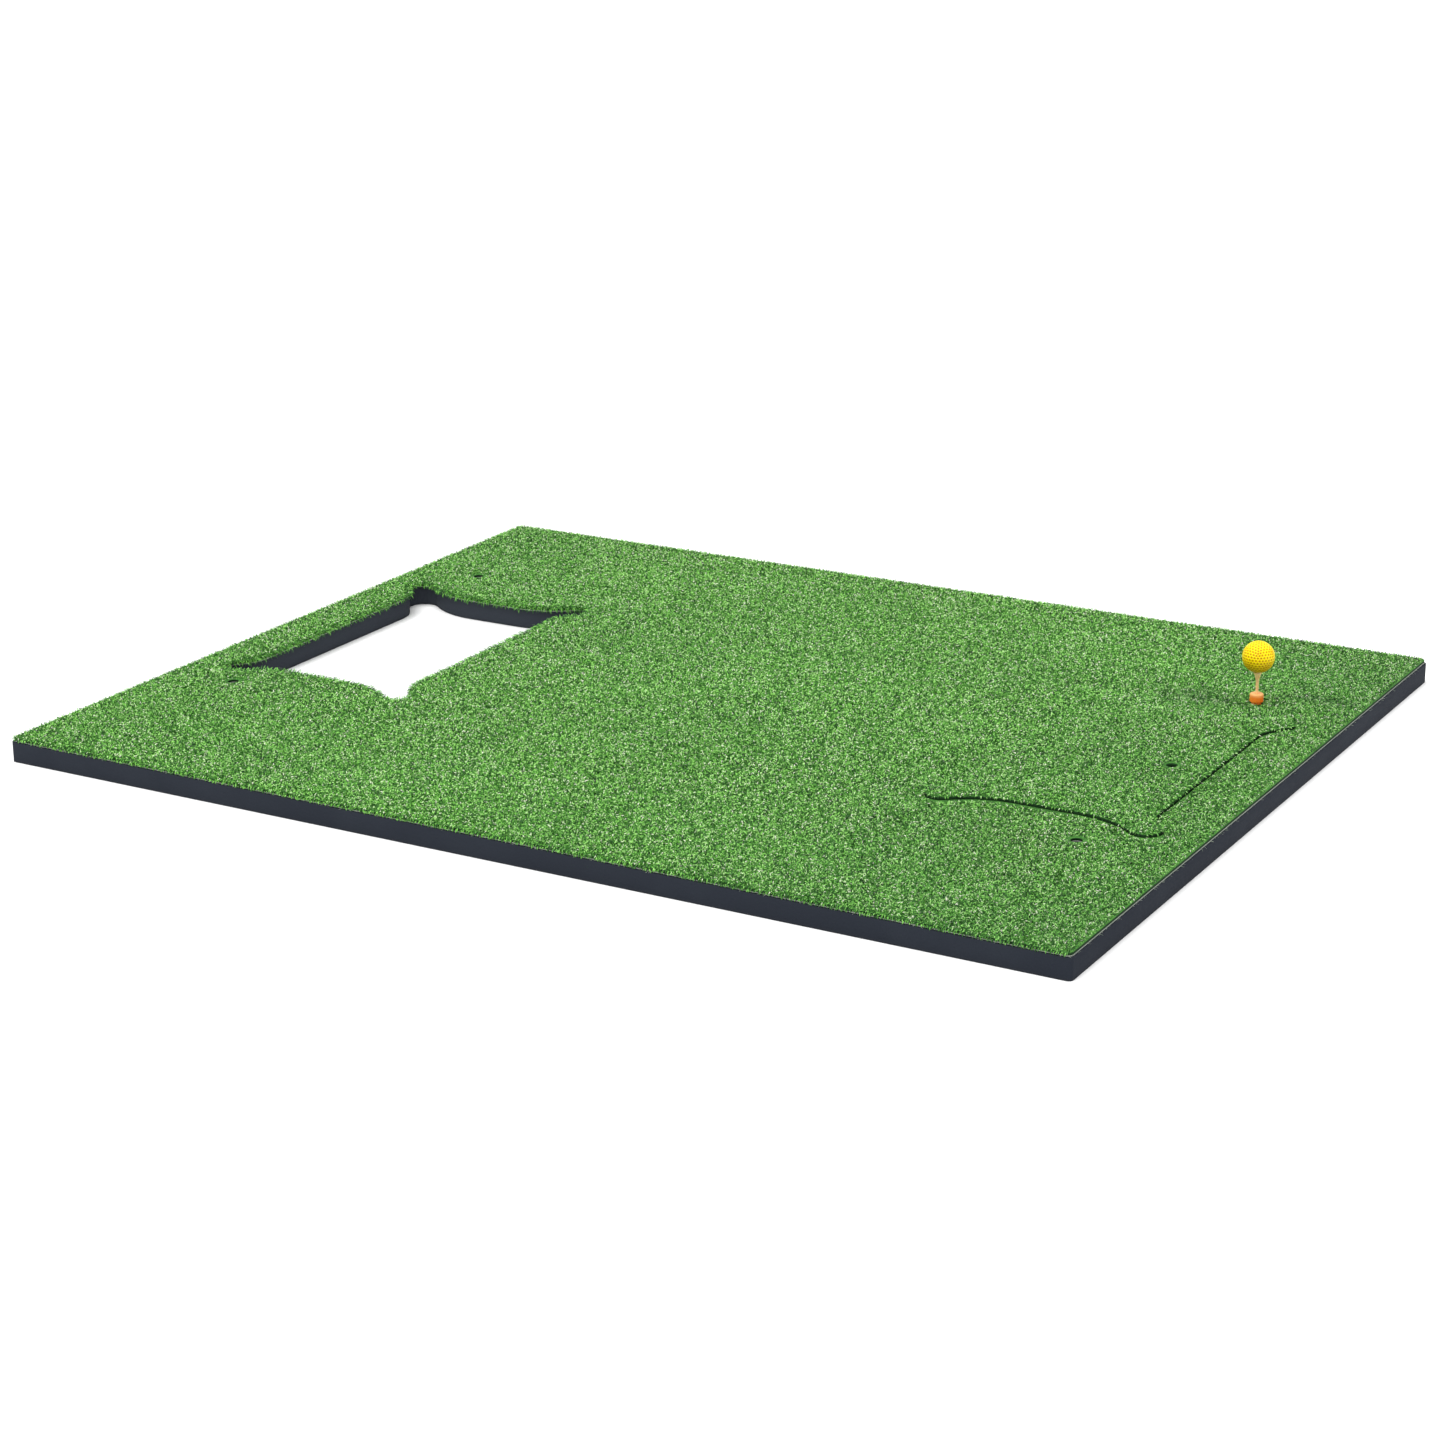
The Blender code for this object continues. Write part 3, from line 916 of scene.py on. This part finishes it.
def plant(name, outline_mesh, low, high, body, seed):
    """One piece of grass over a rectangle of the outline."""
    host = link_piece(name + "_bed", outline_mesh)
    apply_tree(host, tufting, Tile_Low=low, Tile_High=high, Row_Pitch=ROW_PITCH, Scatter=SCATTER,
               Edge_Reach=EDGE_REACH, Bald_Reach=BALD_REACH, Survivors=SURVIVORS, Hang_Angle=HANG_ANGLE,
               Shapes=blade_shelf, Fibre=nylon, Seed=seed)
    grass = made_real(host, name)
    settle(grass, body, "turf", "insert_pile" if body == "insert" else "turf_pile")
    return grass


blade_count = 0
low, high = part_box("turf_pile")
foot = low.z + ROOT_THICKNESS - FOOT_DEPTH
tile = Vector(((high.x - low.x) / TILES_ACROSS, (high.y - low.y) / TILES_DEEP, 0.0))
for across in range(TILES_ACROSS):
    for deep in range(TILES_DEEP):
        corner = Vector((low.x + across * tile.x, low.y + deep * tile.y, foot))
        number = across * TILES_DEEP + deep
        grass = plant(f"turf_{number}", mat_outline, corner, corner + tile, "mat", 40 + number)
        blade_count += len(grass.data.polygons) // BLADE_ROWS
print(blade_count, "blades on the mat")

low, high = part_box("insert_pile")
foot = low.z + INSERT_ROOT_THICKNESS - FOOT_DEPTH
corners = [Vector((corner.x, corner.y, foot)) for corner in (low, high)]
grass = plant("insert_turf", insert_outline, *corners, "insert", 90)
print(len(grass.data.polygons) // BLADE_ROWS, "blades on the insert")

# %% [markdown]
# ## The fringes along cut edges
# Where the turf is cut through, the outermost blades have no neighbour to lean on. Round the empty pocket
# they hang over the edge in a dense, long fringe. Along the mat's front, shorter ones hide most of the
# backing's pale edge. Their roots lie in a line, so this tree walks along the stretches of the rim that have
# one value of `hang`, and plants a blade at each step. It drops a ray just beside the rim to find out on
# which side the turf lies.

# %% The fringing tree
SAME_HANG = 0.01
SIDE_STEP = 0.001
FRINGE_SPREAD = 0.6
# Painted shade: fringe blades take only the darker tints, for blades that hang down over the cut edges into
# shade.
DARKEST_TINT, PALEST_SHADED_TINT = 0.0, 0.70

fringing, given, result = new_tree("fringing", [
    ("Rim Hang", "Float"), ("Step", "Float"), ("Lowest Tilt", "Float"), ("Highest Tilt", "Float"),
    ("Shapes", "Collection"), ("Fibre", "Material"), ("Seed", "Int")])
seed = given["Seed"]
other_hang = maths(fringing, "SUBTRACT", named(fringing, "hang"), given["Rim Hang"])
other_hang = maths(fringing, "ABSOLUTE", other_hang)
walk = rim_walk(fringing, given, maths(fringing, "LESS_THAN", other_hang, SAME_HANG))
side = vectors(fringing, "CROSS_PRODUCT", walk["Tangent"], (0.0, 0.0, 1.0))
side = vectors(fringing, "NORMALIZE", side)
beside = vectors(fringing, "ADD", vectors(fringing, "SCALE", side, SIDE_STEP), (0.0, 0.0, PROBE_HEIGHT))
over_turf = finds_turf(fringing, given["Geometry"], vectors(fringing, "ADD", own_place(fringing), beside))
facing = maths(fringing, "SUBTRACT", 1.0, maths(fringing, "MULTIPLY", over_turf, 2.0))
outwards = vectors(fringing, "SCALE", side, facing)
sides = split(fringing, outwards)
turn = maths(fringing, "ADD", maths(fringing, "ARCTAN2", sides["Y"], sides["X"]),
             draw(fringing, -FRINGE_SPREAD, FRINGE_SPREAD, seed, 1))
tilt = draw(fringing, given["Lowest Tilt"], given["Highest Tilt"], seed, 2)
set_back = vectors(fringing, "SCALE", outwards, draw(fringing, -0.0022, 0.0, seed, 3))
set_down = joined(fringing, Z=draw(fringing, -0.0016, 0.0012, seed, 4))
stems = stored(fringing, walk["Points"], "turn", turn, "POINT")
stems = moved(fringing, stems, vectors(fringing, "ADD", set_back, set_down))
blade_turn = turned(fringing, joined(fringing, Y=tilt, Z=named(fringing, "turn")))
fringe = planted(fringing, given, stems, len(FRINGE_SHAPES), blade_turn, draw(fringing, 0.60, 1.15, seed, 5))
fringe = stored(fringing, fringe, "tint", draw(fringing, DARKEST_TINT, PALEST_SHADED_TINT, seed, 6), "INSTANCE")
end_tree(fringing, fringe, given["Fibre"], result)

# %% Hang the fringes
FRINGES = (
    ("pocket_fringe", EMPTY_POCKET_HANG, 0.00026, (0.5, 1.7), fringe_shelf),
    ("front_fringe", FRONT_SIDE_HANG, 0.0005, (0.9, 2.2), blade_shelf),
)

for name, rim_hang, step, (lowest, highest), shelf in FRINGES:
    host = link_piece(name + "_rim", mat_outline)
    apply_tree(host, fringing, Rim_Hang=rim_hang, Step=step, Lowest_Tilt=lowest, Highest_Tilt=highest,
               Shapes=shelf, Fibre=nylon, Seed=5)
    fringe = made_real(host, name)
    settle(fringe, "mat", "turf", "turf_pile")
    print(name, len(fringe.data.polygons), "faces")

# %% [markdown]
# ## Frayed threads of the backing
# Where the backing is cut, its threads come loose and curl out over the foam. A third tree walks along the
# rim in longer steps and plants a thin curled thread at each, turned at random.

# %% Thread shapes
THREAD_LENGTH = 0.0055
THREAD_RADIUS = 0.00016
THREAD_ROWS = 5
THREAD_SIDES = 3
THREAD_BENDS = (0.5, -0.9, 1.5)
THREAD_TAPER = 0.5
THREAD_SINK = 0.12


def make_thread(name, bend):
    """A thin three-sided thread that runs out along +X and curls as it goes."""
    step = THREAD_LENGTH / THREAD_ROWS
    points, place = [], Vector((0.0, 0.0, 0.0))
    for row in range(THREAD_ROWS + 1):
        along = row / THREAD_ROWS
        turn = bend * along
        radius = THREAD_RADIUS * (1.0 - THREAD_TAPER * along)
        across = Vector((-math.sin(turn), math.cos(turn), 0.0))
        for side in range(THREAD_SIDES):
            angle = 2 * math.pi * side / THREAD_SIDES
            points.append(place + radius * (across * math.cos(angle) + Vector((0, 0, math.sin(angle)))))
        place = place + Vector((math.cos(turn), math.sin(turn), -THREAD_SINK * along)) * step
    faces = []
    for row in range(THREAD_ROWS):
        for side in range(THREAD_SIDES):
            here, there = row * THREAD_SIDES + side, row * THREAD_SIDES + (side + 1) % THREAD_SIDES
            faces.append((here, there, there + THREAD_SIDES, here + THREAD_SIDES))
    faces.append(tuple(range(THREAD_SIDES))[::-1])
    faces.append(tuple(range(THREAD_ROWS * THREAD_SIDES, (THREAD_ROWS + 1) * THREAD_SIDES)))
    mesh = bpy.data.meshes.new(name)
    mesh.from_pydata(points, [], faces)
    mesh.shade_smooth()
    return bpy.data.objects.new(name, mesh)


thread_shelf = bpy.data.collections.new("thread_shapes")
for number, bend in enumerate(THREAD_BENDS):
    thread_shelf.objects.link(make_thread(f"thread_{number}", bend))

# %% The fraying tree
HOLE_RIM = -0.5

fraying, given, result = new_tree("fraying", [
    ("Step", "Float"), ("Drop", "Float"), ("Shapes", "Collection"), ("Fibre", "Material"), ("Seed", "Int")])
seed = given["Seed"]
walk = rim_walk(fraying, given, maths(fraying, "GREATER_THAN", named(fraying, "hang"), HOLE_RIM))
stems = moved(fraying, walk["Points"], joined(fraying, Z=maths(fraying, "MULTIPLY", given["Drop"], -1.0)))
spin = joined(fraying, Y=draw(fraying, -0.1, 0.25, seed, 1), Z=draw(fraying, -math.pi, math.pi, seed, 2))
frays = planted(fraying, given, stems, len(THREAD_BENDS), turned(fraying, spin),
                draw(fraying, 0.3, 1.0, seed, 3))
end_tree(fraying, frays, given["Fibre"], result)

# %% Fray both sheets
FRAY_STEP = 0.004
FRAY_DROP = 0.0009

loose, tree, shader, place = new_material("loose_thread", Roughness=0.7)
tone = use_tone(tree, place, (0.62, 0.66, 0.58), (0.25, 0.42, 0.20), 0.006, 0.001, 0.3)
use_colour(tree, shader, tone["Colour"])

for name, outline_mesh, body, roots_above, seed in (
    ("frayed_threads", mat_outline, "mat", ROOT_THICKNESS, 7),
    ("insert_frayed_threads", insert_outline, "insert", INSERT_ROOT_THICKNESS, 8),
):
    host = link_piece(name + "_rim", outline_mesh)
    drop = roots_above - FOOT_DEPTH + FRAY_DROP
    apply_tree(host, fraying, Step=FRAY_STEP, Drop=drop, Shapes=thread_shelf, Fibre=loose, Seed=seed)
    threads = made_real(host, name)
    settle(threads, body, "turf_backing")
    print(name, len(threads.data.polygons), "faces")

# %% [markdown]
# ## The rubber socket
# The socket is moulded in one piece: a short collar that stands on the turf, with a softened upper edge and
# a lip round the bore, and a ringed plug that grips the foam. It is a turned shape, so its profile is drawn
# once and a Screw modifier turns it. The sizes come from its CAD node.

# %% Turned pieces
TURN_STEPS = 72
AXIS_MERGE = 0.00002
SHARP_TURN = math.radians(40.0)


def make_turned(name, profile, centre, material):
    """A profile of (radius, height) from the axis at the top, down the outside, to the axis, turned round."""
    mesh = bpy.data.meshes.new(name)
    mesh.from_pydata([(radius, 0.0, height) for radius, height in profile],
                     [(index, index + 1) for index in range(len(profile) - 1)], [])
    mesh.materials.append(material)
    piece = link_piece(name, mesh)
    screw = piece.modifiers.new("turn", "SCREW")
    screw.steps = screw.render_steps = TURN_STEPS
    screw.use_merge_vertices = True
    screw.merge_threshold = AXIS_MERGE
    piece = made_real(piece)
    piece.data.transform(Matrix.Translation((centre.x, centre.y, 0.0)))
    piece.data.shade_smooth()
    piece.data.set_sharp_from_angle(angle=SHARP_TURN)
    return piece


def quarter_round(centre_radius, centre_height, radius, start, end, steps=6):
    """Profile points along an arc, angles in degrees from level outwards."""
    points = []
    for step in range(steps + 1):
        angle = math.radians(start + (end - start) * step / steps)
        points.append((centre_radius + radius * math.cos(angle), centre_height + radius * math.sin(angle)))
    return points


# %% Socket
COLLAR_HEIGHT = 0.0105
COLLAR_ROUND = 0.0022
BORE_RADIUS = 0.0024
BORE_LIP = 0.0009
PLUG_RADIUS = 0.0064
RING_RADIUS = 0.0070
RING_COUNT = 4
FIRST_RING = 0.004
RING_PITCH = 0.0065
RING_EDGE = 0.0008
RING_TAPER = 0.0045
FOOT_ROUND = 0.001
BORE_CLEARANCE = 0.0003
SOCKET_SEAT = 0.0008

RUBBER_ORANGE = (1.0, 0.19, 0.008)
RUBBER_DRIFT = (1.0, 0.28, 0.03)
RUBBER_TOP_PAINTED_LIGHT = (1.0, 0.60, 0.24, 1.0)

rubber, tree, shader, place = new_material(
    "orange_rubber", Roughness=0.55, Specular_IOR_Level=0.25, Subsurface_Weight=0.15,
    Subsurface_Radius=(0.004, 0.0015, 0.0006))
low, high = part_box("tee_socket")
collar_low = high.z - COLLAR_HEIGHT
# Painted light: the upper half of the collar blends towards a paler orange, as where light from above falls
# on it.
top_painted_light = stretched(tree, split(tree, place)["Z"], collar_low + 0.5 * COLLAR_HEIGHT, high.z, 0.0, 0.75)
tone = use_tone(tree, place, RUBBER_ORANGE, RUBBER_DRIFT, 0.01, 0.0012, 0.35)
use_colour(tree, shader, blended(tree, top_painted_light, tone["Colour"], RUBBER_TOP_PAINTED_LIGHT))
use_roughness(tree, shader, tone["Specks"], 0.42, 0.6)
use_bump(tree, shader, use_cells(tree, place, 0.0005, 0.2)["Height"], 0.15, 0.0002)

centre = (low + high) / 2
collar_radius = (high.x - low.x) / 2
bore_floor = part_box("tee")[0].z - BORE_CLEARANCE
foot = collar_low - SOCKET_SEAT
profile = [(0.0, bore_floor), (BORE_RADIUS, bore_floor), (BORE_RADIUS, high.z - BORE_LIP)]
profile += quarter_round(BORE_RADIUS + BORE_LIP, high.z - BORE_LIP, BORE_LIP, 180, 90)
profile += [(BORE_RADIUS + 2.2 * BORE_LIP, high.z - 0.3 * BORE_LIP)]
profile += quarter_round(collar_radius - COLLAR_ROUND, high.z - COLLAR_ROUND, COLLAR_ROUND, 80, 0)
profile += [(collar_radius, foot + FOOT_ROUND)]
profile += quarter_round(collar_radius - FOOT_ROUND, foot + FOOT_ROUND, FOOT_ROUND, -15, -90, 4)
profile += [(PLUG_RADIUS, foot)]
for ring in range(RING_COUNT):
    top = collar_low - FIRST_RING - ring * RING_PITCH
    profile += [(PLUG_RADIUS, top), (RING_RADIUS, top - RING_EDGE), (PLUG_RADIUS, top - RING_TAPER)]
profile += [(PLUG_RADIUS, low.z + FOOT_ROUND), (PLUG_RADIUS - FOOT_ROUND, low.z), (0.0, low.z)]
socket = make_turned("rubber_socket", profile, centre, rubber)
settle(socket, "socket", "socket_rubber", "tee_socket")
print("socket", round((high.x - low.x) * 1000, 1), "mm across")

# %% [markdown]
# ## The tee
# A moulded tee is a thin shaft that swells into a cup for the ball. Its flare is a power curve: slow at
# first, then quick at the rim. The plastic is slightly clear, which the warm subsurface glow stands for.

# %% Tee
TEE_STEPS = 18
TEE_FLARE = 0.016
TEE_FLARE_POWER = 2.4
TEE_RIM_ROUND = 0.0004
TEE_POINT = 0.005
SEAT_SHARE = 0.83
SEAT_DEPTH = 0.0008
SEAT_STEPS = 5
SHAFT_RADIUS = 0.0021
TEE_PEACH = (1.0, 0.64, 0.29)
TEE_DRIFT = (1.0, 0.76, 0.44)

tee_plastic, tree, shader, place = new_material(
    "peach_plastic", Roughness=0.35, Specular_IOR_Level=0.5, Subsurface_Weight=0.3,
    Subsurface_Radius=(0.004, 0.002, 0.001))
tone = use_tone(tree, place, TEE_PEACH, TEE_DRIFT, 0.012, 0.0015, 0.2)
use_colour(tree, shader, tone["Colour"])
use_roughness(tree, shader, tone["Specks"], 0.3, 0.45)
use_bump(tree, shader, tone["Specks"], 0.1, 0.0002)

low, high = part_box("tee")
rim_radius = (high.x - low.x) / 2
rim_top = high.z - TEE_RIM_ROUND
profile = [(0.0, high.z - SEAT_DEPTH)]
for step in range(1, SEAT_STEPS + 1):
    out = step / SEAT_STEPS
    profile.append((rim_radius * SEAT_SHARE * out, high.z - SEAT_DEPTH * (1.0 - out ** 2)))
profile += quarter_round(rim_radius - TEE_RIM_ROUND, rim_top, TEE_RIM_ROUND, 80, -10, 4)
for step in range(1, TEE_STEPS + 1):
    down = step / TEE_STEPS
    radius = SHAFT_RADIUS + (rim_radius - SHAFT_RADIUS) * (1.0 - down) ** TEE_FLARE_POWER
    profile.append((radius, rim_top - TEE_RIM_ROUND - TEE_FLARE * down))
profile += [(SHAFT_RADIUS, low.z + TEE_POINT), (SHAFT_RADIUS * 0.75, low.z + TEE_POINT / 2)]
profile += [(SHAFT_RADIUS * 0.3, low.z), (0.0, low.z)]
tee = make_turned("golf_tee", profile, (low + high) / 2, tee_plastic)
settle(tee, "tee", "tee_plastic", "tee")
print("tee", round((high.z - low.z) * 1000, 1), "mm long")

# %% [markdown]
# ## The ball
# A golf ball's dimples sit on the points of a triangulated icosahedron, which spreads them evenly with no
# pole. Cutting each of its edges in six gives 362 points. A tree then takes a smooth sphere, measures how
# far each of its points is from the nearest dimple's middle, and presses it in along a shallow bowl.

# %% Dimple centres
DIMPLE_CUTS = 5
DIMPLE_RADIUS = 0.00185
DIMPLE_DEPTH = 0.00070
BOWL_POWER = 2.2

low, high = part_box("ball")
ball_centre = (low + high) / 2
ball_radius = (high.z - low.z) / 2

work = bmesh.new()
bmesh.ops.create_icosphere(work, subdivisions=1, radius=ball_radius)
bmesh.ops.subdivide_edges(work, edges=work.edges, cuts=DIMPLE_CUTS, use_grid_fill=True)
for vertex in work.verts:
    vertex.co = vertex.co.normalized() * ball_radius
dimple_centres = bpy.data.objects.new("dimple_centres", mesh_from(work, "dimple_centres"))
print(len(dimple_centres.data.vertices), "dimples")

# %% Dimpling tree
dimpling, given, result = new_tree("dimpling", [
    ("Dimple Centres", "Object"), ("Dimple Radius", "Float"), ("Dimple Depth", "Float"),
    ("Coat", "Material")])
centres = node(dimpling, "GeometryNodeObjectInfo", {"Object": given["Dimple Centres"]}).outputs["Geometry"]
gap = node(dimpling, "GeometryNodeProximity", {0: centres}, target_element="POINTS").outputs["Distance"]
reach = maths(dimpling, "MINIMUM", maths(dimpling, "DIVIDE", gap, given["Dimple Radius"]), 1.0)
bowl = maths(dimpling, "SUBTRACT", 1.0, maths(dimpling, "POWER", reach, BOWL_POWER))
press = maths(dimpling, "MULTIPLY", maths(dimpling, "MULTIPLY", bowl, given["Dimple Depth"]), -1.0)
inwards = vectors(dimpling, "SCALE", vectors(dimpling, "NORMALIZE", own_place(dimpling)), press)
marked = stored(dimpling, given["Geometry"], "dimple", bowl, "POINT")
end_tree(dimpling, moved(dimpling, marked, inwards), given["Coat"], result)

# %% Ball
BALL_SUBDIVISIONS = 7
BALL_YELLOW = (1.0, 0.78, 0.0)
BALL_DRIFT = (1.0, 0.84, 0.01)
DIMPLE_PAINTED_SHADE = (0.56, 0.20, 0.0, 1.0)
UNDERSIDE_PAINTED_SHADE = (0.42, 0.24, 0.01, 1.0)

coat, tree, shader, place = new_material(
    "yellow_coat", Roughness=0.42, Specular_IOR_Level=0.15, Coat_Weight=0.04, Coat_Roughness=0.2)
tone = use_tone(tree, place, BALL_YELLOW, BALL_DRIFT, 0.012, 0.0009, 0.3)
# Painted shade: the dimples' hollows blend towards a deep orange.
dimple_shaded = blended(tree, carried(tree, "dimple"), tone["Colour"], DIMPLE_PAINTED_SHADE)
# Painted shade: from just above its middle, the ball darkens downwards towards olive brown, standing for the
# shade on its underside.
shade_top = ball_centre.z + 0.1 * ball_radius
underside_shade = stretched(tree, split(tree, place)["Z"], shade_top, ball_centre.z - ball_radius, 0.0, 0.85)
use_colour(tree, shader, blended(tree, underside_shade, dimple_shaded, UNDERSIDE_PAINTED_SHADE))
use_roughness(tree, shader, tone["Specks"], 0.26, 0.42)
use_bump(tree, shader, tone["Specks"], 0.06, 0.0001)

work = bmesh.new()
bmesh.ops.create_icosphere(work, subdivisions=BALL_SUBDIVISIONS, radius=ball_radius)
blank = link_piece("ball_blank", mesh_from(work, "ball_blank"))
apply_tree(blank, dimpling, Dimple_Centres=dimple_centres, Dimple_Radius=DIMPLE_RADIUS,
           Dimple_Depth=DIMPLE_DEPTH, Coat=coat)
ball = made_real(blank, "golf_ball")
ball.data.transform(Matrix.Translation(ball_centre))
ball.data.shade_smooth()
settle(ball, "ball", "ball_plastic", "ball")
print("ball", round(2000 * ball_radius, 1), "mm,", len(ball.data.polygons), "faces")
